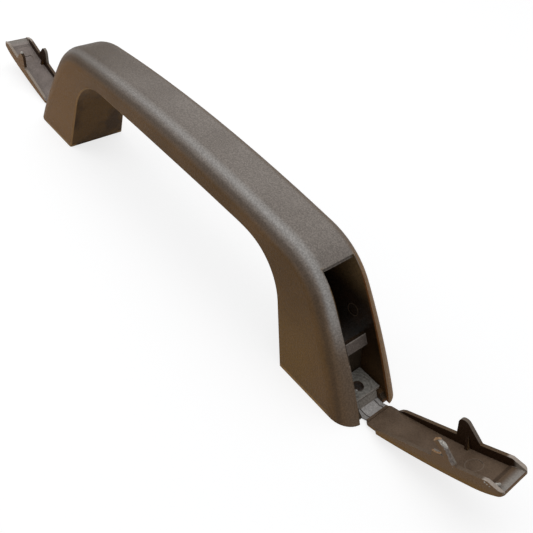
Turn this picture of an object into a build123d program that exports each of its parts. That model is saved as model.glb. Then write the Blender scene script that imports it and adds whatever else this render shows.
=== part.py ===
from build123d import *
import os
from math import cos, hypot, radians, sin, tan

# Door grab handle, moulded in one piece with two hollow feet. Each foot is open at its end, and a
# cover closes it there. A thin strap hinges the cover to a lug, which the fixing screw clamps.
# X runs along the grip, Z stands up from the mounting face, and the origin lies midway between
# the two screws, on the mounting face. Millimetres.

# How far a cut is carried past the solid that it cuts
OVERCUT = 3.0

# Outline of the handle from the side
FOOT_SPAN = 240.0
CROWN_HEIGHT = 58.5
CROWN_DROP = 5.1
END_RAKE = 33.1
END_BULGE = 1.8
SHOULDER_RADIUS = 31.6
GRIP_THICKNESS = 13.1
UNDERSIDE_SAG = 0.9
LEG_INNER_RAKE = 13.3
FOOT_LENGTH = 37.0
INNER_CORNER_RADIUS = 24.2

# Widths of the handle, the rounding of its outer edges and the small bevel of its inner ones
FOOT_WIDTH = 29.6
CROWN_WIDTH = 24.1
OUTER_EDGE_RADIUS = 8.0
INNER_EDGE_CHAMFER = 0.6

# Hollow of each foot
CHANNEL_FOOT_WIDTH = 15.5
CHANNEL_LIP_WIDTH = 14.7
LIP_DROP = 8.5
LEDGE_DEPTH = 1.6
LEDGE_REACH = 0.9
LEG_WALL = 3.0
ROOF_WALL = 3.5
FLOOR_THICKNESS = 3.8
FLOOR_SETBACK = 7.6
POCKET_BACK_INSET = 16.4
POCKET_BACK_LEAN = 12.0
CROSS_WALL = 2.0
STOP_RIB_LOW = 17.7
STOP_RIB_TOP = 21.7
STOP_RIB_INSET = 7.6
STOP_RIB_TOP_THICKNESS = 1.2

# Screws, lugs and straps
SCREW_INSET = 10.4
SCREW_HOLE = 4.2
LUG_THICKNESS = 1.5
LUG_SIDE_GAP = 1.0
LUG_BACK_GAP = 0.3
LUG_WEB = 1.6
LUG_WEB_LEAN = 1.5
LUG_WEB_GAP = 0.2
HINGE_INSET = 1.5
HINGE_HEIGHT = 0.4
STRAP_THICKNESS = 0.5
STRAP_DROP = 4.0
STRAP_WIDTH = 10.8
STRAP_SPLIT = 0.5
STRAP_ROOT = 1.0
STRAP_PANEL = 6.8
STRAP_GROOVE = 0.4
STRAP_GROOVE_DEPTH = 0.25

# Covers, measured along the cover from the hinge line towards the lip and inwards from there
COVER_SIDE_GAP = 0.3
COVER_LIP_GAP = 1.2
COVER_SETBACK = 0.2
COVER_SKIN = 1.6
COVER_WALL = 1.4
HINGE_END = 2.1
HINGE_RELIEF = 0.5
TONGUE_WIDTH = 12.9
TONGUE_SKIN = 1.1
TONGUE_STEP = 1.2
TONGUE_CORNER = 1.8
TIP_CORNER = 1.6
WALL_START = 7.0
WALL_RAMP = 3.0
WALL_NOSE_RADIUS = 2.5
WALL_LOW_DEPTH = 2.6
WALL_DEPTH = 5.0
WALL_END = 4.9
WALL_TIP_DEPTH = 1.4
END_BEVEL = 4.5
END_RIDGE = 2.1
END_RAMP = 1.6
TIP_THICKNESS = 0.8
EAR_START = 32.3
EAR_BASE = 9.2
EAR_PEAK = 10.9
EAR_PEAK_PLACE = 2.6
EAR_TIP_RADIUS = 2.2
EAR_BREAK = ((-1.0, 2.2), (5.0, 2.0), (2.6, 6.2), (-1.0, 6.7))
EAR_RIB_PLACE = 36.6
EAR_RIB_THICKNESS = 1.2
EAR_RIB_REACH = 1.6
EAR_RIB_HEIGHT = 8.5
COVER_MARK_PLACE = 43.0
COVER_MARK_DIAMETER = 5.6
FOOT_MARK_PLACE = (93.0, 28.0)
FOOT_MARK_DIAMETER = 6.0
MARK_DEPTH = 0.15

# How far each cover stands open, in degrees
RIGHT_OPEN_ANGLE = 95.5
LEFT_OPEN_ANGLE = 108.5

foot_end = FOOT_SPAN / 2
shoulder = Vector(foot_end - END_RAKE, CROWN_HEIGHT - CROWN_DROP)
underside = CROWN_HEIGHT - GRIP_THICKNESS
leg_inner_x = foot_end - FOOT_LENGTH
corner = Vector(leg_inner_x - LEG_INNER_RAKE, underside - UNDERSIDE_SAG)
leg_lean = LEG_INNER_RAKE / corner.Y
lip_height = CROWN_HEIGHT - LIP_DROP
screw_x = foot_end - SCREW_INSET
floor_end_x = foot_end - FLOOR_SETBACK
hinge = Vector(foot_end - HINGE_INSET, HINGE_HEIGHT)
beyond = FOOT_SPAN


def arc_radius(chord, bulge):
    """Radius of an arc that stands out from its chord by the bulge."""
    return (chord**2 / 4 + bulge**2) / (2 * bulge)


crown_radius = arc_radius(2 * shoulder.X, CROWN_DROP)
end_chord = Vector(foot_end, 0) - shoulder
end_radius = arc_radius(end_chord.length, END_BULGE)
end_normal = Vector(-end_chord.Y, end_chord.X).normalized()
end_centre = (shoulder + Vector(foot_end, 0)) * 0.5 - end_normal * (end_radius - END_BULGE)


def outer_form(inset):
    """Side view of the crown, shoulders and bulged end faces, moved inwards and open-ended below."""
    with BuildSketch() as form:
        with Locations((0, CROWN_HEIGHT - crown_radius)):
            Circle(crown_radius - inset)
        for side in (1, -1):
            with Locations((side * end_centre.X, end_centre.Y)):
                Circle(end_radius - inset, mode=Mode.INTERSECT)
        fillet(form.vertices().group_by(Axis.Y)[-1], SHOULDER_RADIUS - inset)
    return form.sketch


# Opening for the hand, between the grip and the mounting face
with BuildSketch() as hand_opening:
    with BuildLine():
        right_foot = Vector(leg_inner_x + leg_lean * OVERCUT, -OVERCUT)
        ThreePointArc((-corner.X, corner.Y), (0, underside), corner)
        Polyline(corner, right_foot, (-right_foot.X, right_foot.Y), (-corner.X, corner.Y))
    make_face()
    fillet(hand_opening.vertices().group_by(Axis.Y)[-1], INNER_CORNER_RADIUS)

outline = outer_form(0).faces()[0].outer_wire()
hand_outline = hand_opening.sketch.faces()[0].outer_wire()


def outline_point(start, end):
    """Where a straight line drawn in the side view crosses the outer form."""
    crossing = outline.intersect(Edge.make_line(start, end)).vertices()[0]
    return Vector(crossing.X, crossing.Y)


def end_face(height):
    """Point of the right-hand end face at a height."""
    return outline_point((0, height), (beyond, height))


def lies_on(edge, wire):
    """True for an edge of the solid that follows this line of the side view."""
    middle = edge.position_at(0.5)
    return middle.Z > 0.01 and wire.distance_to(Vertex(middle.X, middle.Z, 0)) < 0.01


def channel_width(height):
    """Width across the inside of a foot at a height."""
    return CHANNEL_FOOT_WIDTH - (CHANNEL_FOOT_WIDTH - CHANNEL_LIP_WIDTH) * height / lip_height


# Where the cover's tip meets the foot, with the directions down the slope and into the foot
lip = end_face(lip_height)
down_slope = (end_face(lip_height - LEDGE_REACH) - lip).normalized()
into_foot = Vector(down_slope.Y, -down_slope.X)

# Cross-section of the handle's straight sides, which draw in from the feet to the crown
with BuildSketch(Plane.YZ) as width_section:
    with BuildLine():
        foot_half, crown_half = FOOT_WIDTH / 2, CROWN_WIDTH / 2
        Polyline(
            (-foot_half, 0),
            (foot_half, 0),
            (crown_half, CROWN_HEIGHT),
            (-crown_half, CROWN_HEIGHT),
            close=True,
        )
    make_face()

# Places in the right-hand foot: back wall of the screw pocket, stop rib and inner leg wall
pocket_back_x = foot_end - POCKET_BACK_INSET
pocket_top_x = pocket_back_x - tan(radians(POCKET_BACK_LEAN)) * (STOP_RIB_LOW - FLOOR_THICKNESS)
rib_low_x = end_face(STOP_RIB_LOW).X - STOP_RIB_INSET
rib_top_x = end_face(STOP_RIB_TOP).X - STOP_RIB_INSET
inner_wall = LEG_WALL * hypot(1, leg_lean)
ledge_foot = lip + into_foot * LEDGE_DEPTH + down_slope * LEDGE_REACH
ledge_back = ledge_foot + into_foot * ROOF_WALL

# Void behind the cross wall, open below, with its roof parallel to the outer form
with BuildSketch() as void_section:
    add(outer_form(ROOF_WALL))
    with BuildLine():
        Polyline(
            (leg_inner_x + inner_wall + leg_lean * OVERCUT, -OVERCUT),
            (leg_inner_x + inner_wall - leg_lean * CROWN_HEIGHT, CROWN_HEIGHT),
            (ledge_foot.X, CROWN_HEIGHT),
            (ledge_foot.X, ledge_back.Y),
            (rib_top_x, STOP_RIB_TOP),
            (rib_top_x - STOP_RIB_TOP_THICKNESS, STOP_RIB_TOP),
            (pocket_top_x - CROSS_WALL, STOP_RIB_LOW),
            (pocket_back_x - CROSS_WALL, -OVERCUT),
            close=True,
        )
    make_face(mode=Mode.INTERSECT)

# Screw pocket and the opening in the end face, from the ledge under the lip down to the floor
with BuildSketch() as mouth_section:
    with BuildLine():
        clear_of_end = foot_end + OVERCUT
        Polyline(
            lip - into_foot * ROOF_WALL,
            lip + into_foot * LEDGE_DEPTH,
            ledge_foot,
            ledge_back,
            (rib_top_x, STOP_RIB_TOP),
            (rib_low_x, STOP_RIB_LOW),
            (pocket_top_x, STOP_RIB_LOW),
            (pocket_back_x, FLOOR_THICKNESS),
            (floor_end_x, FLOOR_THICKNESS),
            (floor_end_x, -OVERCUT),
            (clear_of_end, -OVERCUT),
            (clear_of_end, lip.Y),
            close=True,
        )
    make_face()


# Everything cut out of the right-hand foot between its side walls, with the moulding marks in them
with BuildPart() as foot_hollow:
    with BuildSketch(Plane.XZ):
        add(void_section.sketch)
        add(mouth_section.sketch)
    extrude(amount=FOOT_WIDTH / 2, both=True)
    with BuildSketch(Plane.YZ):
        with BuildLine():
            low_half = channel_width(-OVERCUT) / 2
            high_half = channel_width(CROWN_HEIGHT) / 2
            Polyline(
                (-low_half, -OVERCUT),
                (low_half, -OVERCUT),
                (high_half, CROWN_HEIGHT),
                (-high_half, CROWN_HEIGHT),
                close=True,
            )
        make_face()
    extrude(amount=beyond, both=True, mode=Mode.INTERSECT)
    with BuildSketch(Plane.XZ):
        with Locations(FOOT_MARK_PLACE):
            Circle(FOOT_MARK_DIAMETER / 2)
    extrude(amount=channel_width(FOOT_MARK_PLACE[1]) / 2 + MARK_DEPTH, both=True)
    with Locations((screw_x, 0, 0)):
        Cylinder(SCREW_HOLE / 2, FLOOR_THICKNESS * 3)

with BuildPart() as handle:
    with BuildSketch(Plane.XZ):
        add(outer_form(0))
        add(hand_opening.sketch, mode=Mode.SUBTRACT)
    extrude(amount=FOOT_WIDTH, both=True)
    extrude(to_extrude=width_section.sketch, amount=beyond, both=True, mode=Mode.INTERSECT)
    fillet(handle.edges().filter_by(lambda edge: lies_on(edge, outline)), OUTER_EDGE_RADIUS)
    chamfer(handle.edges().filter_by(lambda edge: lies_on(edge, hand_outline)), INNER_EDGE_CHAMFER)
    with PolarLocations(0, 2):
        add(foot_hollow.part, mode=Mode.SUBTRACT)
handle.part.label = "handle"


def strap_half(plane, start, end):
    """Half of the strap, from near the hinge line to its root, with two grooves in its face."""
    with BuildPart() as strap:
        with BuildSketch(plane.offset(-STRAP_THICKNESS / 2)):
            with Locations(((start + end + STRAP_ROOT) / 2, 0)):
                Rectangle(end + STRAP_ROOT - start, STRAP_WIDTH)
        extrude(amount=STRAP_THICKNESS)
        with BuildSketch(plane.offset(STRAP_THICKNESS / 2)):
            with Locations(((start + end) / 2, 0)):
                with GridLocations(0, STRAP_PANEL + STRAP_GROOVE, 1, 2):
                    Rectangle(end - start, STRAP_GROOVE)
        extrude(amount=-STRAP_GROOVE_DEPTH, mode=Mode.SUBTRACT)
    return strap.part


# Lug over the right-hand foot's floor, its web down the floor's front and the fixed strap half
web_back = floor_end_x + LUG_WEB_GAP
web_front = web_back + LUG_WEB
strap_root_x = web_front + LUG_WEB_LEAN
lug_back = pocket_back_x + LUG_BACK_GAP
lug_top = FLOOR_THICKNESS + LUG_THICKNESS
strap_slope = tan(radians(STRAP_DROP))
strap_top = HINGE_HEIGHT + strap_slope * (hinge.X - strap_root_x) + STRAP_THICKNESS / 2
strap_length = (hinge.X - strap_root_x) / cos(radians(STRAP_DROP))
fixed_strap = Plane(origin=(hinge.X, 0, hinge.Y), x_dir=(-1, 0, strap_slope), z_dir=(strap_slope, 0, 1))
with BuildPart() as lug_form:
    with BuildSketch(Plane.XZ):
        with BuildLine():
            Polyline(
                (lug_back, FLOOR_THICKNESS),
                (lug_back, lug_top),
                (web_front, lug_top),
                (web_front, FLOOR_THICKNESS),
                close=True,
            )
        make_face()
    extrude(amount=channel_width(lug_top) / 2 - LUG_SIDE_GAP, both=True)
    with BuildSketch(Plane.XZ):
        with BuildLine():
            Polyline(
                (web_back, FLOOR_THICKNESS),
                (web_front, FLOOR_THICKNESS),
                (strap_root_x, strap_top),
                (strap_root_x, strap_top - STRAP_THICKNESS),
                (web_back, strap_top - STRAP_THICKNESS),
                close=True,
            )
        make_face()
    extrude(amount=STRAP_WIDTH / 2, both=True)
    add(strap_half(fixed_strap, STRAP_THICKNESS / 2 + STRAP_SPLIT, strap_length))
    with Locations((screw_x, 0, lug_top)):
        Hole(SCREW_HOLE / 2, LUG_THICKNESS * 2)

# Closed cover in the side view: along runs from the hinge line to the lip, inwards into the foot
along = (lip - hinge).normalized()
inwards = Vector(-along.Y, along.X)
tip_place = (lip - hinge).length - COVER_LIP_GAP
wall_end_place = tip_place - WALL_END
ridge_place = tip_place - END_BEVEL


def on_cover(place, depth):
    """Point at a place along the closed cover and a depth inwards from its hinge line."""
    return hinge + along * place + inwards * depth


def on_skin(place, depth):
    """Point at a place along the closed cover and a depth below the handle's end face."""
    surface = outline_point(on_cover(place, FOOT_LENGTH / 2), on_cover(place, -FOOT_LENGTH / 2))
    return surface + inwards * depth


def across_cover(place, depth):
    """Plane standing on the cover, with local X across it and local Y out of its floor."""
    point = on_skin(place, depth)
    return Plane(origin=(point.X, 0, point.Y), x_dir=(0, 1, 0), z_dir=(along.X, 0, along.Y))


# Side view of a whole cover: tongue, then side walls with their ears, which slope down to the tip
tongue_top = COVER_SETBACK + TONGUE_SKIN
with BuildSketch() as cover_section:
    with BuildLine():
        nose = on_skin(WALL_START + WALL_RAMP, WALL_LOW_DEPTH)
        ear_peak = on_skin(EAR_START + EAR_PEAK_PLACE, WALL_DEPTH + EAR_PEAK)
        Polyline(
            on_skin(WALL_START, -OVERCUT),
            on_skin(WALL_START, COVER_SETBACK),
            on_skin(HINGE_END, COVER_SETBACK + HINGE_RELIEF),
            on_skin(HINGE_END, tongue_top),
            on_skin(WALL_START, tongue_top),
            nose,
            on_skin(EAR_START, WALL_DEPTH),
            ear_peak,
            on_skin(EAR_START + EAR_BASE, WALL_DEPTH),
            on_skin(wall_end_place, WALL_DEPTH),
            on_skin(tip_place, WALL_TIP_DEPTH),
            on_skin(tip_place, -OVERCUT),
            close=True,
        )
    make_face()
    fillet(cover_section.vertices().sort_by_distance((ear_peak.X, ear_peak.Y, 0))[0], EAR_TIP_RADIUS)
    fillet(cover_section.vertices().sort_by_distance((nose.X, nose.Y, 0))[0], WALL_NOSE_RADIUS)
    add(outer_form(COVER_SETBACK), mode=Mode.INTERSECT)

# Plane of the cover's plan, with local X along the cover and local Y across it
plan = Plane(
    origin=(hinge.X, 0, hinge.Y), x_dir=(along.X, 0, along.Y), z_dir=(inwards.X, 0, inwards.Y)
)


def cover_half_width(place):
    """Half of the cover's width at a place along it."""
    return channel_width(on_cover(place, 0).Y) / 2 - COVER_SIDE_GAP


# Plan of a cover: a rounded tongue at the hinge end, then its full width, narrower towards the tip
with BuildSketch(plan) as cover_plan:
    with BuildLine():
        wall_place = WALL_START + TONGUE_STEP
        half_plan = [
            (HINGE_END, TONGUE_WIDTH / 2),
            (WALL_START, TONGUE_WIDTH / 2),
            (wall_place, cover_half_width(wall_place)),
            (tip_place, cover_half_width(tip_place)),
        ]
        Polyline(*half_plan, *[(place, -half) for place, half in reversed(half_plan)], close=True)
    make_face()
    fillet(cover_plan.vertices().group_by(Axis.X)[0], TONGUE_CORNER)
    fillet(cover_plan.vertices().group_by(Axis.X)[-1], TIP_CORNER)

# Tray of a cover: what is open between its side walls, over a floor that thickens from the tongue,
# a short ramp and the bevel down to the tip
with BuildPart() as tray:
    with BuildSketch(Plane.XZ):
        with BuildLine():
            ramp_place = ridge_place - END_RAMP
            floor_start = on_skin(WALL_START, tongue_top)
            floor_end = on_skin(ramp_place, COVER_SETBACK + COVER_SKIN)
            floor_middle = on_skin(
                (WALL_START + ramp_place) / 2, COVER_SETBACK + (TONGUE_SKIN + COVER_SKIN) / 2
            )
            ridge = on_skin(ridge_place, END_RIDGE)
            tip_top = on_skin(tip_place, COVER_SETBACK + TIP_THICKNESS)
            past_tip = tip_top + (tip_top - ridge)
            ThreePointArc(floor_start, floor_middle, floor_end)
            Polyline(
                floor_end,
                ridge,
                past_tip,
                past_tip + inwards * FOOT_LENGTH,
                on_skin(WALL_START, FOOT_LENGTH),
                floor_start,
            )
        make_face()
    extrude(amount=FOOT_WIDTH / 2, both=True)
    with BuildSketch(plan):
        with BuildLine():
            tray_plan = [
                (place, cover_half_width(place) - COVER_WALL) for place in (WALL_START, tip_place + OVERCUT)
            ]
            Polyline(*tray_plan, *[(place, -half) for place, half in reversed(tray_plan)], close=True)
        make_face()
    extrude(amount=FOOT_LENGTH, both=True, mode=Mode.INTERSECT)

# Right-hand cover as it sits when closed
with BuildPart() as cover_form:
    with BuildSketch(Plane.XZ):
        add(cover_section.sketch)
    extrude(amount=FOOT_WIDTH / 2, both=True)
    extrude(to_extrude=cover_plan.sketch, amount=FOOT_LENGTH, both=True, mode=Mode.INTERSECT)
    add(tray.part, mode=Mode.SUBTRACT)

    # Strap half, with a round knuckle on the hinge line
    add(strap_half(plan, 0, HINGE_END))
    with Locations(Plane(origin=plan.origin, z_dir=(0, 1, 0))):
        Cylinder(STRAP_THICKNESS / 2, STRAP_WIDTH)

    # Rib inside each ear
    with BuildSketch(across_cover(EAR_RIB_PLACE, COVER_SETBACK + COVER_SKIN / 2)):
        rib_root = cover_half_width(EAR_RIB_PLACE) - COVER_WALL / 2
        rib_reach = EAR_RIB_REACH + COVER_WALL / 2
        for hand in (1, -1):
            with BuildLine():
                Polyline(
                    (hand * rib_root, 0),
                    (hand * (rib_root - rib_reach), 0),
                    (hand * rib_root, EAR_RIB_HEIGHT),
                    close=True,
                )
            make_face()
    extrude(amount=EAR_RIB_THICKNESS / 2, both=True)

    # Round mark of a moulding pin in the tray floor
    mark = on_skin(COVER_MARK_PLACE, COVER_SETBACK + COVER_SKIN)
    with Locations(Plane(origin=(mark.X, 0, mark.Y), x_dir=(0, 1, 0), z_dir=plan.z_dir)):
        Cylinder(COVER_MARK_DIAMETER / 2, MARK_DEPTH * 2, mode=Mode.SUBTRACT)


# Piece broken out of the near ear of the right-hand cover
with BuildPart() as ear_break:
    with BuildSketch(Plane.XZ):
        with BuildLine():
            corners = [on_skin(EAR_START + place, WALL_DEPTH + height) for place, height in EAR_BREAK]
            Polyline(*corners, close=True)
        make_face()
    extrude(amount=FOOT_WIDTH / 2)


def swung(opened):
    """Place of the right-hand cover after it has swung open about its hinge line."""
    hinge_line = Location((hinge.X, 0, hinge.Y))
    return hinge_line * Location((0, 0, 0), (0, opened, 0)) * hinge_line.inverse()


half_turn = Location((0, 0, 0), (0, 0, 180))

with BuildPart() as right_screw_lug:
    add(lug_form.part)
right_screw_lug.part.label = "right_screw_lug"

with BuildPart() as left_screw_lug:
    with Locations(half_turn):
        add(lug_form.part)
left_screw_lug.part.label = "left_screw_lug"

with BuildPart() as right_cover:
    with Locations(swung(RIGHT_OPEN_ANGLE)):
        add(cover_form.part)
        add(ear_break.part, mode=Mode.SUBTRACT)
right_cover.part.label = "right_cover"

with BuildPart() as left_cover:
    with Locations(half_turn * swung(LEFT_OPEN_ANGLE)):
        add(cover_form.part)
left_cover.part.label = "left_cover"

os.makedirs("parts", exist_ok=True)
export_step(handle.part, "parts/handle.step")
export_step(right_screw_lug.part, "parts/right_screw_lug.step")
export_step(left_screw_lug.part, "parts/left_screw_lug.step")
export_step(right_cover.part, "parts/right_cover.step")
export_step(left_cover.part, "parts/left_cover.step")
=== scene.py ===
import random
from math import cos, pi, radians, sin

import bmesh
import bpy
from mathutils import Euler, Matrix, Vector


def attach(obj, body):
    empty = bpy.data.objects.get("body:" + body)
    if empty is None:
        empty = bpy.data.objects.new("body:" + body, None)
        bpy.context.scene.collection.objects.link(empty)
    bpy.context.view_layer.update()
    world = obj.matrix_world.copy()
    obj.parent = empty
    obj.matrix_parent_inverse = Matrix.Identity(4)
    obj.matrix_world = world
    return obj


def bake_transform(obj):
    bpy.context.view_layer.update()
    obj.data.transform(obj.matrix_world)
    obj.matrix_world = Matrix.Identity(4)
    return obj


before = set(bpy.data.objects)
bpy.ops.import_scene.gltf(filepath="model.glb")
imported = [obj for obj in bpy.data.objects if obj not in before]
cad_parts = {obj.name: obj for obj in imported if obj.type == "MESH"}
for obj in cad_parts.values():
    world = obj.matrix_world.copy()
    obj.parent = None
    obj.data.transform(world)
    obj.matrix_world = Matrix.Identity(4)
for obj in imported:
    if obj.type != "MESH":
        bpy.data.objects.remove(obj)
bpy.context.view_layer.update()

# Looks of a moulded door grab handle with its two covers standing open. Lengths are in millimetres.
# Places are the handle's own, X along the grip and Z up from the mounting face. On a cover they count
# along it from its hinge line, and out of it.

MM = 0.001

# Hinge line of the right-hand cover, and how many degrees each cover rises from the mounting face
HINGE_X = 118.5
HINGE_Z = 0.4
RIGHT_COVER_RISE = 26.91
LEFT_COVER_RISE = 13.91

# Hollow foot: its end face is part of a wide arc, and the leg's inner face leans in
END_ARC_CENTRE = (-128.77, 0.0, -117.24)
END_ARC_RADIUS = 275.01
LEG_INNER_X = 83.0
LEG_OUTWARD = (-0.958, 0.0, -0.286)
CHANNEL_HALF_FOOT = 7.75
CHANNEL_HALF_LIP = 7.35
LIP_HEIGHT = 50.0
LEDGE_LOW = 45.5
RIB_LOW = 17.7
RIB_TOP = 21.7
PIN_MARK_X = 93.0
PIN_MARK_Z = 26.8
PIN_MARK_RING = (2.1, 2.7)
SCREW_X = 109.6
SCREW_HOLE_REACH = 2.2

# Screw lug and its strap
LUG_TOP = 5.3
LUG_FRONT_X = 114.2
TURNING_STEP = 1.3
STRAP_ROOT_X = 115.7
STRAP_DROP = 4.0
STRAP_END = 2.1
STRAP_HALF_WIDTH = 5.4
STRAP_THICKNESS = 0.5
STRAP_GROOVE = 3.6

# Cover: its skin is part of the same arc as the foot's end face
COVER_ARC_CENTRE = (33.21, 0.0, 271.8)
COVER_WALL_MIDDLE = 6.5
COVER_WALL_DEPTH = 5.0
COVER_FLOOR_DEPTH = 2.3
COVER_MARK_PLACE = 43.0
COVER_MARK_HEIGHT = -1.2
COVER_MARK_RING = (2.55, 3.15)
BEVEL_START = 53.05
BEVEL_END = 57.55


def linear(code):
    """Scene-linear colour of an sRGB hex code."""
    parts = [int(code[place:place + 2], 16) / 255 for place in (1, 3, 5)]
    return [part / 12.92 if part <= 0.04045 else ((part + 0.055) / 1.055) ** 2.4 for part in parts] + [1.0]


def add_node(tree, kind, inputs=(), **settings):
    """Adds a node with its settings. Its inputs, by name or in order, get links, values or hex colours."""
    node = tree.nodes.new(kind)
    for name, value in settings.items():
        setattr(node, name, value)
    named = inputs if isinstance(inputs, dict) else dict(enumerate(inputs))
    for name, value in named.items():
        if isinstance(value, bpy.types.NodeSocket):
            tree.links.new(value, node.inputs[name])
        else:
            node.inputs[name].default_value = linear(value) if isinstance(value, str) else value
    return node


def new_material(name):
    """Empty node material, with its principled shader."""
    material = bpy.data.materials.new(name)
    material.use_nodes = True
    tree = material.node_tree
    tree.nodes.clear()
    shader = add_node(tree, "ShaderNodeBsdfPrincipled")
    add_node(tree, "ShaderNodeOutputMaterial", {"Surface": shader.outputs["BSDF"]})
    return material, tree, shader


def between(value, low, high, soft):
    """Limits that hold between two numbers, with soft rims."""
    return (value, low, low + soft), (value, high, high - soft)


class Surface:
    """Place and facing of a surface, in millimetres of its own piece, and the ways to colour by them."""

    def __init__(self, tree, origin, turn):
        self.tree = tree
        given = add_node(tree, "ShaderNodeTexCoord").outputs
        place = {"Vector": given["Object"], "Location": [part * MM for part in origin], "Rotation": turn}
        place["Scale"] = (MM, MM, MM)
        self.point = self.add("ShaderNodeMapping", place, vector_type="TEXTURE")
        facing = {"Vector": given["Normal"], "Rotation": turn}
        facing = self.add("ShaderNodeMapping", facing, vector_type="TEXTURE")
        parts = add_node(tree, "ShaderNodeSeparateXYZ", [self.point])
        self.x, self.y, self.z = parts.outputs
        parts = add_node(tree, "ShaderNodeSeparateXYZ", [facing])
        self.facing_x, self.facing_y, self.facing_z = parts.outputs

    def add(self, kind, inputs, output=0, **settings):
        """Adds a node to the material, and gives one of its outputs."""
        return add_node(self.tree, kind, inputs, **settings).outputs[output]

    def mask(self, *limits):
        """Mask of where every limit holds. A limit is a value with the number from which it starts to
        count and the one from which it counts in full, or another mask, or a plain strength."""
        whole = None
        for limit in limits:
            if isinstance(limit, tuple):
                limit = dict(zip(("Value", "From Min", "From Max"), limit))
                limit = self.add("ShaderNodeMapRange", limit, interpolation_type="SMOOTHSTEP")
            if whole is not None:
                limit = self.add("ShaderNodeMath", [whole, limit], operation="MULTIPLY")
            whole = limit
        return whole

    def lay(self, over, under, *limits):
        """Lays the first colour over the second where every limit holds."""
        mix = {0: self.mask(*limits), 6: under, 7: over}
        return self.add("ShaderNodeMix", mix, 2, data_type="RGBA")

    def mottle(self, size, low, high, detail=2.0):
        """Mask of soft blotches of about this size."""
        pattern = {"Vector": self.point, "Scale": 1 / size, "Detail": detail, "Roughness": 0.5}
        return self.mask((self.add("ShaderNodeTexNoise", pattern), low, high))

    def folded(self):
        """Place on the surface with both feet laid over each other."""
        reach = self.add("ShaderNodeMath", [self.x], operation="ABSOLUTE")
        return self.add("ShaderNodeCombineXYZ", [reach, self.y, self.z])

    def distance(self, point, centre, counted=(1.0, 1.0, 1.0)):
        """How far a point is from a centre, in the directions that are counted."""
        away = self.add("ShaderNodeVectorMath", [point, centre], operation="SUBTRACT")
        away = self.add("ShaderNodeVectorMath", [away, counted], operation="MULTIPLY")
        return self.add("ShaderNodeVectorMath", [away], "Value", operation="LENGTH")

    def inside_arc(self, point, centre):
        """Depth of a point under the arc of the foot's end face, in the side view."""
        away = self.distance(point, centre, (1.0, 0.0, 1.0))
        return self.add("ShaderNodeMath", [END_ARC_RADIUS, away], operation="SUBTRACT")

    def screw_hole(self):
        """Limit that holds in the upright screw holes of both feet."""
        away = self.distance(self.folded(), (SCREW_X, 0.0, 0.0), (1.0, 1.0, 0.0))
        return away, SCREW_HOLE_REACH, SCREW_HOLE_REACH - 0.05


# Polypropylene moulded in a spark-eroded tool: its fine grain breaks the gloss up into a soft sheen with
# darker and lighter flecks. Years of use have dulled it, so it shines far less than new plastic. On faces
# that look up the flecks get more contrast, a painted glint of the overhead light on the grain.
PLASTIC_IOR = 1.49
PLASTIC_SHINE = 0.1
PLASTIC_ROUGHNESS = (0.38, 0.62)
SPECKLE_SPAN = (0.36, 0.66)
GRAIN_SIZE = 0.6
GRAIN_DEPTH = 0.25
FLECKS = 0.26
GLINT_FLECKS = 1.5
UNTURNED = ((0, 0, 0), (0, 0, 0))


def moulded(name, paint, lie=UNTURNED, grain_size=GRAIN_SIZE, grain_depth=GRAIN_DEPTH, flecks=FLECKS):
    """Moulded plastic, with the colours that the paint function lays on a piece that lies so. The real
    grain is about 0.3 mm across and is drawn about twice as coarse, so that it shows."""
    material, tree, shader = new_material(name)
    surface = Surface(tree, *lie)
    pattern = {"Vector": surface.point, "Scale": 1 / grain_size, "Detail": 2.0, "Roughness": 0.6}
    speckle = surface.add("ShaderNodeTexNoise", pattern)
    light = surface.mask((speckle, *SPECKLE_SPAN))
    fleck = surface.add("ShaderNodeMath", [light, 0.5], operation="SUBTRACT")
    # Grain flecks get more contrast on faces that look up: painted glints of the overhead light
    up = surface.mask((surface.facing_z, 0.1, 0.7))
    fleck_and_glint_range = {"Value": up, "To Min": flecks, "To Max": GLINT_FLECKS * flecks}
    contrast = surface.add("ShaderNodeMapRange", fleck_and_glint_range)
    bright = surface.add("ShaderNodeMath", [fleck, contrast, 1.0], operation="MULTIPLY_ADD")
    colour = surface.add("ShaderNodeHueSaturation", {"Value": bright, "Color": paint(surface)})
    glossy, dull = PLASTIC_ROUGHNESS
    gloss = surface.add("ShaderNodeMapRange", {"Value": speckle, "To Min": glossy, "To Max": dull})
    bump = surface.add("ShaderNodeBump", {"Height": speckle, "Distance": grain_depth * MM, "Strength": 1.0})
    tree.links.new(colour, shader.inputs["Base Color"])
    tree.links.new(gloss, shader.inputs["Roughness"])
    tree.links.new(bump, shader.inputs["Normal"])
    shader.inputs["IOR"].default_value = PLASTIC_IOR
    shader.inputs["Specular IOR Level"].default_value = PLASTIC_SHINE
    return material


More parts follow.
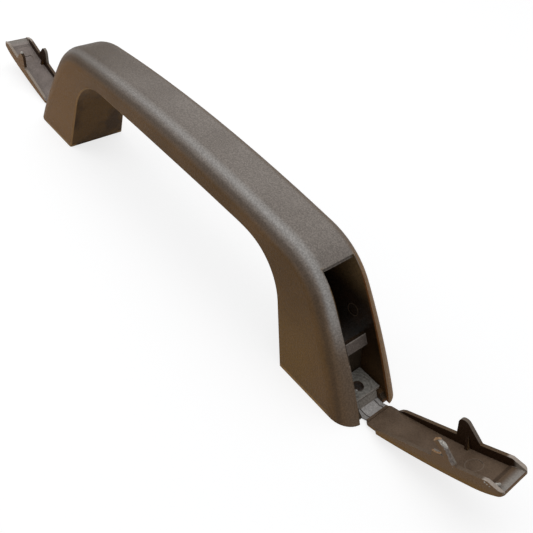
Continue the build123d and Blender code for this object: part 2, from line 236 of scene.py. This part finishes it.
def paint_handle(surface):
    """Brown sides with golden edges, a painted grey sheen on top, painted highlights on edges, and painted
    shade towards the hand and inside the feet.
    """
    x, y, z = surface.x, surface.y, surface.z
    across = surface.add("ShaderNodeMath", [y], operation="ABSOLUTE")
    reach = surface.add("ShaderNodeMath", [x], operation="ABSOLUTE")
    sideways = surface.add("ShaderNodeMath", [surface.facing_y], operation="ABSOLUTE")
    end = surface.add("ShaderNodeMath", [x], operation="SIGN")
    outwards = surface.add("ShaderNodeMath", [end, surface.facing_x], operation="MULTIPLY")
    inwards = surface.add("ShaderNodeMath", [outwards, -1.0], operation="MULTIPLY")
    down = surface.add("ShaderNodeMath", [surface.facing_z, -1.0], operation="MULTIPLY")
    towards_hand = surface.add("ShaderNodeMath", [down, inwards], operation="MAXIMUM")
    slow = surface.mottle(30.0, 0.35, 0.65)

    # Brown sides, more golden low down and on the left leg
    lower_half = (z, 42.0, 8.0)
    short_of_end = (reach, 110.0, 90.0)
    left_leg = (x, -50.0, -90.0)
    side = surface.lay("#664b2d", "#594022", slow)
    side = surface.lay("#6b4e22", side, lower_half, short_of_end, 0.75)
    side = surface.lay("#6f4c1f", side, left_leg, 0.8)

    # Grey-brown top, a painted sheen of the overhead light: browner towards the left end, with less sheen low
    # down
    towards_left = (x, 0.0, -105.0)
    low_down = (z, 40.0, 22.0)
    top = surface.lay("#7d756e", "#877f78", slow)
    top = surface.lay("#51463b", top, towards_left)
    up = surface.mask((surface.facing_z, 0.1, 0.8))
    less_top_sheen = surface.mask(up, low_down, 0.4)
    painted_top_sheen = surface.add("ShaderNodeMath", [up, less_top_sheen], operation="SUBTRACT")
    outside = surface.lay(top, side, painted_top_sheen)

    # Rounded edges: brown at the back, and at the front a painted highlight above a line of painted shade
    away_from_hand = (towards_hand, 0.2, 0.0)
    facing_back = (surface.facing_y, 0.15, 0.55)
    outside = surface.lay("#5a4631", outside, facing_back, away_from_hand, 0.8)
    front_edge = surface.mask((y, -6.0, -9.0), away_from_hand)
    off_the_feet = (z, 22.0, 42.0)
    more_to_the_right = (x, -170.0, 80.0)
    painted_highlight = surface.mask(front_edge, *between(sideways, 0.15, 0.76, 0.2), off_the_feet)
    outside = surface.lay("#a5a19d", outside, painted_highlight, more_to_the_right, 0.9)
    outside = surface.lay("#3d2f22", outside, front_edge, *between(sideways, 0.74, 0.98, 0.1), 0.45)

    # Back rim of the feet's end faces, with a lighter brown painted highlight
    facing_out = (outwards, 0.25, 0.5)
    at_the_back = (y, 7.0, 8.5)
    on_the_feet = (reach, 78.0, 92.0)
    outside = surface.lay("#7d5f3c", outside, facing_out, at_the_back, on_the_feet, 0.9)

    # Faces towards the hand get a mottled painted shade, and their bevelled edges a golden line
    facing_hand = (towards_hand, 0.3, 0.6)
    off_the_sides = (sideways, 0.5, 0.3)
    painted_hand_shade = surface.lay("#553b18", "#392408", surface.mottle(14.0, 0.4, 0.6))
    outside = surface.lay(painted_hand_shade, outside, facing_hand, off_the_sides)
    hand_edge = surface.mask((towards_hand, 0.25, 0.45), *between(sideways, 0.45, 0.95, 0.1))
    on_the_legs = (z, 44.0, 34.0)
    outside = surface.lay("#7d6238", outside, hand_edge, 0.6)
    outside = surface.lay("#8f6d47", outside, hand_edge, on_the_legs)

    # Golden line along the bottom edge of the feet's sides
    bottom_edge = (z, 1.7, 0.9)
    on_the_sides = (across, 11.0, 12.5)
    short_of_corner = (reach, 112.0, 106.0)
    outside = surface.lay("#8a6a3e", outside, bottom_edge, on_the_sides, short_of_corner)

    # Inside of a hollow foot: between its tapering walls, past the leg's wall, under end face and lip
    folded = surface.folded()
    taper = {"Value": z, "From Max": LIP_HEIGHT, "To Min": CHANNEL_HALF_FOOT, "To Max": CHANNEL_HALF_LIP}
    half_width = surface.add("ShaderNodeMapRange", taper)
    from_wall = surface.add("ShaderNodeMath", [across, half_width], operation="SUBTRACT")
    deep = surface.inside_arc(folded, END_ARC_CENTRE)
    start = surface.add("ShaderNodeVectorMath", [folded, (LEG_INNER_X, 0.0, 0.0)], operation="SUBTRACT")
    from_leg = surface.add("ShaderNodeVectorMath", [start, LEG_OUTWARD], "Value", operation="DOT_PRODUCT")
    between_walls = (from_wall, 0.35, 0.2)
    past_leg_wall = (from_leg, -1.0, -1.5)
    under_end_face = (deep, 0.1, 0.3)
    under_lip = (z, LIP_HEIGHT + 0.2, LIP_HEIGHT - 0.2)
    hollow = surface.mask(between_walls, past_leg_wall, under_end_face, under_lip)

    # Painted shade inside: dark brown with streaks, lighter at the floor, painted light under the lip, black
    # above the stop rib
    near_floor = (z, 22.0, 6.0)
    near_lip = (z, 32.0, 46.0)
    back_wall = surface.mask((outwards, 0.35, 0.55))
    inner = surface.lay("#2e1e10", "#1f150a", surface.mottle(5.0, 0.3, 0.75, detail=3.0))
    inner = surface.lay("#4d3822", inner, near_floor, 0.8)
    inner = surface.lay("#6e583c", inner, near_lip)
    inner = surface.lay("#100a04", inner, back_wall, *between(z, RIB_TOP + 0.3, 36.0, 3.0))

    # Round mark of a moulding pin on both walls
    from_mark = surface.distance(folded, (PIN_MARK_X, CHANNEL_HALF_FOOT, PIN_MARK_Z))
    inner = surface.lay("#6d5c4a", inner, *between(from_mark, *PIN_MARK_RING, 0.2), 0.45)

    # Back wall below the stop rib in painted shade, the rib painted paler as it faces out, and a lighter line
    # along its top
    below_rib = (z, RIB_LOW + 0.1, RIB_LOW - 0.1)
    top_of_rib = (z, RIB_TOP - 0.5, RIB_TOP - 0.3)
    rib = surface.mask(back_wall, *between(z, RIB_LOW - 0.05, RIB_TOP + 0.15, 0.1))
    inner = surface.lay("#3a3025", inner, back_wall, below_rib)
    inner = surface.lay("#6b615a", inner, rib)
    inner = surface.lay("#8f867e", inner, rib, top_of_rib)

    # Painted light on the roof, a grey painted highlight on the ledge under the lip, and an orange-brown line
    # on the rim of the far wall
    high_up = (z, 31.0, 38.0)
    off_the_walls = (sideways, 0.6, 0.4)
    well_inside = (deep, 2.0, 3.0)
    at_the_rim = (deep, 1.5, 0.5)
    off_the_lip = (reach, 84.0, 86.0)
    far_wall = (y, 0.0, 5.0)
    inner = surface.lay("#cdb088", inner, high_up, off_the_walls, well_inside)
    inner = surface.lay("#7b726a", inner, back_wall, (z, LEDGE_LOW, LEDGE_LOW + 0.2))
    inner = surface.lay("#80522a", inner, at_the_rim, off_the_lip, far_wall)
    # Painted shade in the screw holes of both feet
    return surface.lay("#35210d", surface.lay(inner, outside, hollow), surface.screw_hole())


def paint_strap(surface):
    """Plastic paled by bending, with painted shade in its sunk lines."""
    across = surface.add("ShaderNodeMath", [surface.y], operation="ABSOLUTE")
    strap = surface.lay("#a5a19e", "#989491", (across, STRAP_GROOVE, STRAP_GROOVE - 0.1))
    return surface.lay("#6f6a66", strap, *between(across, STRAP_GROOVE - 0.3, STRAP_GROOVE + 0.3, 0.1))


def paint_lug(surface):
    """Greyer moulding, with faint turning marks round the screw hole, a painted highlight on its front edge,
    painted shade in the hole, and the strap.
    """
    reach = surface.add("ShaderNodeMath", [surface.x], operation="ABSOLUTE")
    blotches = surface.mottle(2.5, 0.3, 0.7, detail=3.0)
    lug = surface.lay("#67635c", "#7d7a74", blotches)
    from_screw = surface.distance(surface.folded(), (SCREW_X, 0.0, LUG_TOP))
    turns = surface.add("ShaderNodeMath", [from_screw, 2 * pi / TURNING_STEP], operation="MULTIPLY")
    rings = surface.add("ShaderNodeMath", [turns], operation="SINE")
    lug = surface.lay("#97948d", lug, (rings, 0.2, 1.0), blotches, 0.5)
    # Painted highlight on the front edge, and painted shade in the screw hole
    lug = surface.lay("#8a837b", lug, (reach, LUG_FRONT_X - 0.35, LUG_FRONT_X - 0.2))
    lug = surface.lay("#3d2812", lug, surface.screw_hole())
    return surface.lay(paint_strap(surface), lug, (reach, STRAP_ROOT_X - 0.05, STRAP_ROOT_X + 0.05))


def paint_cover(shades):
    """Brown cover: painted shade on the insides of its walls, paler rims and ears, and a grey bevel with a
    pale painted sheen at its end.
    """

    def paint(surface):
        x = surface.x
        across = surface.add("ShaderNodeMath", [surface.y], operation="ABSOLUTE")
        sideways = surface.add("ShaderNodeMath", [surface.facing_y], operation="ABSOLUTE")
        depth = surface.inside_arc(surface.point, COVER_ARC_CENTRE)
        up = surface.mask((surface.facing_z, 0.3, 0.7))
        far_wall = surface.mask((surface.y, -1.0, 1.0))

        # Golden-brown sides and a mottled floor, which goes on over the root of the strap
        towards_skin = (depth, 3.0, 0.3)
        strap_root = (x, STRAP_END + 1.6, STRAP_END + 1.0)
        floor = surface.lay(*shades["floor"], surface.mottle(9.0, 0.3, 0.7, detail=3.0))
        body = surface.lay(*shades["side"], towards_skin)
        body = surface.lay(floor, body, up)
        body = surface.lay(floor, body, strap_root)

        # Walls: painted shade on their inner faces, with paler rims, and the rims of the ears in a colour of
        # their own
        inner_side = (across, COVER_WALL_MIDDLE, COVER_WALL_MIDDLE - 0.2)
        inner_face = surface.mask(inner_side, (sideways, 0.4, 0.6))
        body = surface.lay("#2b1b0f", body, inner_face)
        on_a_wall = (across, COVER_WALL_MIDDLE - 0.95, COVER_WALL_MIDDLE - 0.85)
        off_its_faces = (sideways, 0.6, 0.4)
        over_the_floor = (depth, COVER_FLOOR_DEPTH, COVER_FLOOR_DEPTH + 0.2)
        rim = surface.mask(on_a_wall, off_its_faces, over_the_floor)
        body = surface.lay(surface.lay(shades["rim"], "#5f5042", far_wall), body, rim)
        on_an_ear = (depth, COVER_WALL_DEPTH + 0.3, COVER_WALL_DEPTH + 1.2)
        body = surface.lay(surface.lay(shades["ear"], "#82796f", far_wall), body, rim, on_an_ear)

        # Round mark of a moulding pin on the floor
        from_mark = surface.distance(surface.point, (COVER_MARK_PLACE, 0.0, COVER_MARK_HEIGHT))
        body = surface.lay("#75675a", body, *between(from_mark, *COVER_MARK_RING, 0.2), 0.5)

        # Bevel at the end, with a pale painted sheen towards its brown rim, and a ramp in a colour of its own
        # before it
        on_the_bevel = (x, BEVEL_START - 0.1, BEVEL_START + 0.1)
        painted_sheen_half = (x, BEVEL_START + 0.6, BEVEL_START + 3.4)
        end_rim = (x, BEVEL_END - 0.45, BEVEL_END - 0.25)
        between_walls = (across, 5.7, 5.5)
        bevel = surface.lay("#8f8982", shades["bevel"], painted_sheen_half)
        body = surface.lay(bevel, body, on_the_bevel, up)
        ramp = surface.mask(*between(x, BEVEL_START - 1.7, BEVEL_START + 0.1, 0.2), up, between_walls)
        body = surface.lay(shades["ramp"], body, ramp, 0.7)
        body = surface.lay("#5b4535", body, end_rim, up)

        # The ends of the walls are paler too
        wall_end = (x, BEVEL_START - 2.6, BEVEL_START - 1.4)
        inner_end = (x, BEVEL_START, BEVEL_START + 1.5)
        body = surface.lay("#a1958a", body, rim, wall_end, (sideways, 0.5, 0.3))
        body = surface.lay("#857a6e", body, inner_face, inner_end)
        return surface.lay(paint_strap(surface), body, (x, STRAP_END, STRAP_END - 0.15))

    return paint


def torn_paint(light, dark):
    """Plastic that tearing has turned pale, in blotches of a light and a dark shade."""

    def paint(surface):
        return surface.lay(light, dark, surface.mottle(0.8, 0.35, 0.65))

    return paint


# Colours of the covers, of which the left one is the paler and greyer
RIGHT_SHADES = {
    "floor": ("#655445", "#564638"),
    "side": ("#70501f", "#6b5238"),
    "ramp": "#43352a",
    "bevel": "#5f4d3d",
    "rim": "#54422f",
    "ear": "#665b51",
}
LEFT_SHADES = {
    "floor": ("#8b807a", "#786e68"),
    "side": ("#75501f", "#6f4e28"),
    "ramp": "#857b75",
    "bevel": "#968c86",
    "rim": "#988c80",
    "ear": "#3f2e20",
}
COVER_FLECKS = 0.12

half_round = Matrix.Rotation(pi, 4, "Z")
left_turn = (half_round @ Matrix.Rotation(-radians(LEFT_COVER_RISE), 4, "Y")).to_euler()
right_turn = Euler((0, -radians(RIGHT_COVER_RISE), 0))
right_lie = ((HINGE_X, 0, HINGE_Z), right_turn)
left_lie = ((-HINGE_X, 0, HINGE_Z), left_turn)

# Moulded polypropylene. The handle's grain is the deepest and catches the light as fine flecks. The lug
# and the strap come from a smoother part of the tool and look flatter, and the covers hardly fleck.
handle_plastic = moulded("moulded_polypropylene_handle", paint_handle)
lug_plastic = moulded("moulded_polypropylene_lug", paint_lug, grain_size=0.7, grain_depth=0.1)
strap_plastic = moulded("moulded_polypropylene_strap", paint_strap, grain_size=0.7, grain_depth=0.06)
right_cover_plastic = moulded(
    "moulded_polypropylene_right_cover", paint_cover(RIGHT_SHADES), right_lie, flecks=COVER_FLECKS
)
left_cover_plastic = moulded(
    "moulded_polypropylene_left_cover", paint_cover(LEFT_SHADES), left_lie, flecks=COVER_FLECKS
)

# Torn polypropylene: it stretched before it broke, so hardly any grain is left and it looks paler than the
# moulded skin, almost white at its thinnest edges
torn = {"grain_size": 0.5, "grain_depth": 0.1}
torn_grey = moulded("torn_polypropylene_grey", torn_paint("#81776f", "#685e56"), **torn)
torn_pale = moulded("torn_polypropylene_pale", torn_paint("#c4bfb6", "#a09a92"), **torn)
torn_tan = moulded("torn_polypropylene_tan", torn_paint("#b29273", "#8f6a45"), **torn)

for node, plastic in (
    ("handle", handle_plastic),
    ("right_screw_lug", lug_plastic),
    ("left_screw_lug", lug_plastic),
    ("right_cover", right_cover_plastic),
    ("left_cover", left_cover_plastic),
):
    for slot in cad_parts[node].material_slots:
        slot.material = plastic


def mesh_piece(name, form, material):
    """Object from a bmesh, with its material."""
    mesh = bpy.data.meshes.new(name)
    form.to_mesh(mesh)
    form.free()
    mesh.materials.append(material)
    piece = bpy.data.objects.new(name, mesh)
    bpy.context.scene.collection.objects.link(piece)
    return piece


# Thin web of each strap across its hinge line, which joins the lug's half to the cover's. It stands
# a hair proud of them, with the same two sunk lines.
WEB_REACH = 1.3
WEB_STEPS = 12
WEB_PROUD = 0.02
WEB_GROOVE_DEPTH = 0.22
WEB_GROOVE_MOUTH = 0.2
WEB_GROOVE_FLOOR = 0.18


def strap_web(side, rise):
    """Closed strip over the hinge line, level with the strap's halves on both sides of it."""
    groove = ((WEB_GROOVE_MOUTH, 0), (WEB_GROOVE_FLOOR, WEB_GROOVE_DEPTH))
    groove += tuple((-y, sunk) for y, sunk in reversed(groove))
    profile = [(STRAP_HALF_WIDTH + WEB_PROUD, 0)] + [(STRAP_GROOVE + y, sunk) for y, sunk in groove]
    profile += [(-y, sunk) for y, sunk in reversed(profile)]
    form = bmesh.new()
    tops, bottoms = [], []
    half = STRAP_THICKNESS / 2 + WEB_PROUD
    for number in range(WEB_STEPS + 1):
        place = WEB_REACH * (2 * number / WEB_STEPS - 1)
        slope = radians(rise if place > 0 else -STRAP_DROP)
        x, z = HINGE_X + place * cos(slope), HINGE_Z + place * sin(slope)
        top = [(side * x * MM, side * y * MM, (z + half - sunk) * MM) for y, sunk in profile]
        bottom = [(side * x * MM, side * y * MM, (z - half) * MM) for y, sunk in profile]
        tops.append([form.verts.new(point) for point in top])
        bottoms.append([form.verts.new(point) for point in bottom])
    spans = range(len(profile) - 1)
    for rows in (tops, bottoms):
        for near, far in zip(rows, rows[1:]):
            for left in spans:
                form.faces.new((near[left], far[left], far[left + 1], near[left + 1]))
    for row in range(WEB_STEPS):
        for rim in (0, -1):
            form.faces.new((tops[row][rim], tops[row + 1][rim], bottoms[row + 1][rim], bottoms[row][rim]))
    for end in (0, -1):
        for left in spans:
            form.faces.new((tops[end][left], tops[end][left + 1], bottoms[end][left + 1], bottoms[end][left]))
    bmesh.ops.recalc_face_normals(form, faces=form.faces)
    return form


for body, side, rise in (("right_cover", 1, RIGHT_COVER_RISE), ("left_cover", -1, LEFT_COVER_RISE)):
    web = mesh_piece(body.replace("cover", "strap_web"), strap_web(side, rise), strap_plastic)
    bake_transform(web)


# Cheeks of each foot's floor, one on each side of the strap, with a low toe in front
CHEEK_BACK_X = 112.3
CHEEK_FRONT_X = 116.3
CHEEK_TOE_X = 118.4
CHEEK_TOE_TOP = 1.1
CHEEK_INNER_Y = 5.6
CHEEK_OUTER_Y = 7.7
CHEEK_BOTTOM = 0.05
CHEEK_TOP = 3.4
CHEEK_ROUND = 0.8
CHEEK_ROUND_STEPS = (30, 60, 90)


def cheek(side, hand):
    """Small wedge beside the strap, with its front edge rounded over."""
    outline = [
        (CHEEK_BACK_X, CHEEK_BOTTOM),
        (CHEEK_TOE_X, CHEEK_BOTTOM),
        (CHEEK_TOE_X, CHEEK_TOE_TOP),
        (CHEEK_FRONT_X, CHEEK_TOP - CHEEK_ROUND),
    ]
    for degrees in CHEEK_ROUND_STEPS:
        turn = radians(degrees)
        x = CHEEK_FRONT_X - CHEEK_ROUND * (1 - cos(turn))
        outline.append((x, CHEEK_TOP - CHEEK_ROUND * (1 - sin(turn))))
    outline.append((CHEEK_BACK_X, CHEEK_TOP))
    form = bmesh.new()
    ends = [
        [form.verts.new((side * x * MM, hand * y * MM, z * MM)) for x, z in outline]
        for y in (CHEEK_INNER_Y, CHEEK_OUTER_Y)
    ]
    for corner in range(len(outline)):
        after = (corner + 1) % len(outline)
        form.faces.new((ends[0][corner], ends[0][after], ends[1][after], ends[1][corner]))
    for end in ends:
        form.faces.new(end)
    bmesh.ops.recalc_face_normals(form, faces=form.faces)
    return form


for foot, side in (("right", 1), ("left", -1)):
    for face, hand in (("front", -1), ("back", 1)):
        wedge = mesh_piece(f"{foot}_{face}_floor_cheek", cheek(side, hand), handle_plastic)
        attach(wedge, "handle")


# Torn plastic where the ears and a wall's end have broken
RING_CORNERS = 7
RINGS_PER_SPAN = 4
WIDTH_VARIES = (0.85, 1.1)
RING_VARIES = (0.85, 1.15)
TIP_SHARE = 0.5


def on_open_cover(side, rise, place, across, height):
    """Point of an open cover, from its place along, across and out of the cover."""
    lift = radians(rise)
    x = HINGE_X + place * cos(lift) - height * sin(lift)
    z = HINGE_Z + place * sin(lift) + height * cos(lift)
    return Vector((side * x, across, z)) * MM


def torn_thread(name, cover, spots, material, flat=1.0):
    """Ragged thread of torn plastic along a row of spots of a cover. Each spot is a place along, across
    and out of it, and the thread's width there. Flat is the share of that width which it has across."""
    body, side, rise = cover
    draw = random.Random(name)
    points, widths = [], []
    for start, end in zip(spots, spots[1:]):
        for step in range(RINGS_PER_SPAN):
            share = step / RINGS_PER_SPAN
            *place, width = [a + (b - a) * share for a, b in zip(start, end)]
            points.append(on_open_cover(side, rise, *place))
            widths.append(width * draw.uniform(*WIDTH_VARIES))
    *place, width = spots[-1]
    points.append(on_open_cover(side, rise, *place))
    widths.append(width * TIP_SHARE)
    widths[0] *= TIP_SHARE
    form = bmesh.new()
    rings = []
    for number, (point, width) in enumerate(zip(points, widths)):
        ahead = points[min(number + 1, len(points) - 1)] - points[max(number - 1, 0)]
        wide = ahead.cross(Vector((0, 1, 0))).normalized()
        thin = ahead.cross(wide).normalized() * flat
        ring = []
        for corner in range(RING_CORNERS):
            angle = 2 * pi * corner / RING_CORNERS
            radius = width / 2 * draw.uniform(*RING_VARIES) * MM
            ring.append(form.verts.new(point + radius * (wide * cos(angle) + thin * sin(angle))))
        rings.append(ring)
    for near, far in zip(rings, rings[1:]):
        for corner in range(RING_CORNERS):
            after = (corner + 1) % RING_CORNERS
            form.faces.new((near[corner], near[after], far[after], far[corner]))
    form.faces.new(rings[0][::-1])
    form.faces.new(rings[-1])
    bmesh.ops.recalc_face_normals(form, faces=form.faces)
    thread = mesh_piece(name, form, material)
    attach(thread, body)


right = ("right_cover", 1, RIGHT_COVER_RISE)
left = ("left_cover", -1, LEFT_COVER_RISE)
ear_edge = (
    (37.0, -6.9, 8.4, 1.6),
    (38.4, -6.9, 7.3, 2.0),
    (39.2, -6.9, 5.4, 2.1),
    (40.0, -6.9, 3.5, 2.0),
    (40.5, -6.9, 1.9, 1.6),
    (40.8, -6.9, 0.6, 0.9),
)
ear_top = ((35.6, -6.9, 8.9, 1.0), (36.7, -6.85, 9.0, 2.0), (38.0, -6.85, 8.6, 2.2), (39.0, -6.9, 7.4, 1.2))
ear_burr = ((33.9, -6.9, 8.1, 0.5), (35.0, -6.9, 9.6, 0.9), (36.0, -6.9, 10.2, 0.8), (37.0, -6.9, 10.6, 0.5))
wall_burr = ((32.8, -7.0, 4.3, 0.6), (34.3, -7.0, 3.9, 0.7), (35.9, -7.0, 4.5, 0.6), (37.6, -7.0, 6.0, 0.4))
end_edge = (
    (50.7, -6.8, 2.4, 0.9),
    (51.9, -6.8, 2.2, 1.4),
    (53.4, -6.7, 1.6, 1.6),
    (55.0, -6.6, 0.9, 1.6),
    (56.4, -6.3, 0.2, 1.1),
)
end_fleck = ((53.0, -5.4, 0.6, 0.6), (54.0, -4.9, 0.9, 1.1), (55.0, -4.6, 1.4, 1.2), (55.6, -4.6, 2.0, 0.6))
left_ear_tip = ((35.2, -6.7, 10.3, 0.8), (36.2, -6.7, 9.9, 1.4), (37.3, -6.7, 8.6, 0.9))
torn_thread("torn_ear_edge", right, ear_edge, torn_grey, flat=0.4)
torn_thread("torn_ear_top", right, ear_top, torn_pale, flat=0.5)
torn_thread("torn_ear_burr", right, ear_burr, torn_tan, flat=0.7)
torn_thread("torn_wall_burr", right, wall_burr, torn_tan, flat=0.7)
torn_thread("torn_end_edge", right, end_edge, torn_pale, flat=0.5)
torn_thread("torn_end_fleck", right, end_fleck, torn_pale)
torn_thread("torn_left_ear_tip", left, left_ear_tip, torn_pale)


# Matt pale floor and white surroundings. The eye sees them nearly white, because this share of the floor
# it sees is a glow that keeps the shadows pale. The object is lit by their plain colours alone.
FLOOR_HALF = 2.0
FLOOR_SQUARES = 8
FLOOR_WHITE = 0.62
FLOOR_GLOW = 1.21
FLOOR_ROUGHNESS = 0.9
SKY_LIGHT = 0.42


def white_to_the_eye(tree, shown, lit):
    """Mixes what camera, glossy and transmission rays see with what lights the object."""
    path = add_node(tree, "ShaderNodeLightPath").outputs
    seen = path["Is Camera Ray"]
    for ray in ("Is Glossy Ray", "Is Transmission Ray"):
        seen = add_node(tree, "ShaderNodeMath", [seen, path[ray]], operation="MAXIMUM").outputs[0]
    return add_node(tree, "ShaderNodeMixShader", [seen, lit, shown]).outputs[0]


world = bpy.data.worlds.new("white_studio")
bpy.context.scene.world = world
world.use_nodes = True
sky = world.node_tree
sky.nodes.clear()
shown = add_node(sky, "ShaderNodeBackground", {"Color": "#ffffff", "Strength": 1.0})
lit = add_node(sky, "ShaderNodeBackground", {"Color": "#f6f8fb", "Strength": SKY_LIGHT})
add_node(sky, "ShaderNodeOutputWorld", {"Surface": white_to_the_eye(sky, shown.outputs[0], lit.outputs[0])})

floor_material, floor_tree, floor_shader = new_material("pale_matt_floor")
floor_shader.inputs["Base Color"].default_value = linear("#ececec")
floor_shader.inputs["Roughness"].default_value = FLOOR_ROUGHNESS
floor_shader.inputs["Specular IOR Level"].default_value = 0.0
matt = floor_shader.outputs[0]
glow = add_node(floor_tree, "ShaderNodeEmission", {"Color": "#ffffff", "Strength": FLOOR_GLOW}).outputs[0]
paler = add_node(floor_tree, "ShaderNodeMixShader", [FLOOR_WHITE, matt, glow]).outputs[0]
floor_end = floor_tree.get_output_node("ALL").inputs["Surface"]
floor_tree.links.new(white_to_the_eye(floor_tree, paler, matt), floor_end)
floor_form = bmesh.new()
bmesh.ops.create_grid(floor_form, x_segments=FLOOR_SQUARES, y_segments=FLOOR_SQUARES, size=FLOOR_HALF)
floor = mesh_piece("floor", floor_form, floor_material)


HANDLE_MIDDLE = Vector((0, 0, 0.03))


def soft_box(name, place, size, power):
    """Square studio lamp that looks at the handle's middle."""
    lamp = bpy.data.lights.new(name, "AREA")
    lamp.size = size
    lamp.energy = power
    held = bpy.data.objects.new(name, lamp)
    held.location = place
    held.rotation_euler = (HANDLE_MIDDLE - Vector(place)).to_track_quat("-Z", "Y").to_euler()
    bpy.context.scene.collection.objects.link(held)


soft_box("overhead_box", place=(-0.1, 0.1, 0.95), size=0.9, power=4.2)
soft_box("left_front_box", place=(-0.75, -0.5, 0.7), size=0.6, power=2.0)

# Camera at the photograph's place, as a fit to the outlines of the handle and its covers gave it
CAMERA_PLACE = (0.18241, -0.130435, 0.195907)
CAMERA_TURN = (0.800036, -0.111704, 0.885829)
CAMERA_LENS = 43.7239
CAMERA_SENSOR = 36
CAMERA_NEAR = 0.01

camera = bpy.data.cameras.new("camera")
camera.lens = CAMERA_LENS
camera.sensor_width = CAMERA_SENSOR
camera.clip_start = CAMERA_NEAR
eye = bpy.data.objects.new("camera", camera)
eye.location = CAMERA_PLACE
eye.rotation_euler = CAMERA_TURN
bpy.context.scene.collection.objects.link(eye)
bpy.context.scene.camera = eye
bpy.context.scene.view_settings.view_transform = "Standard"
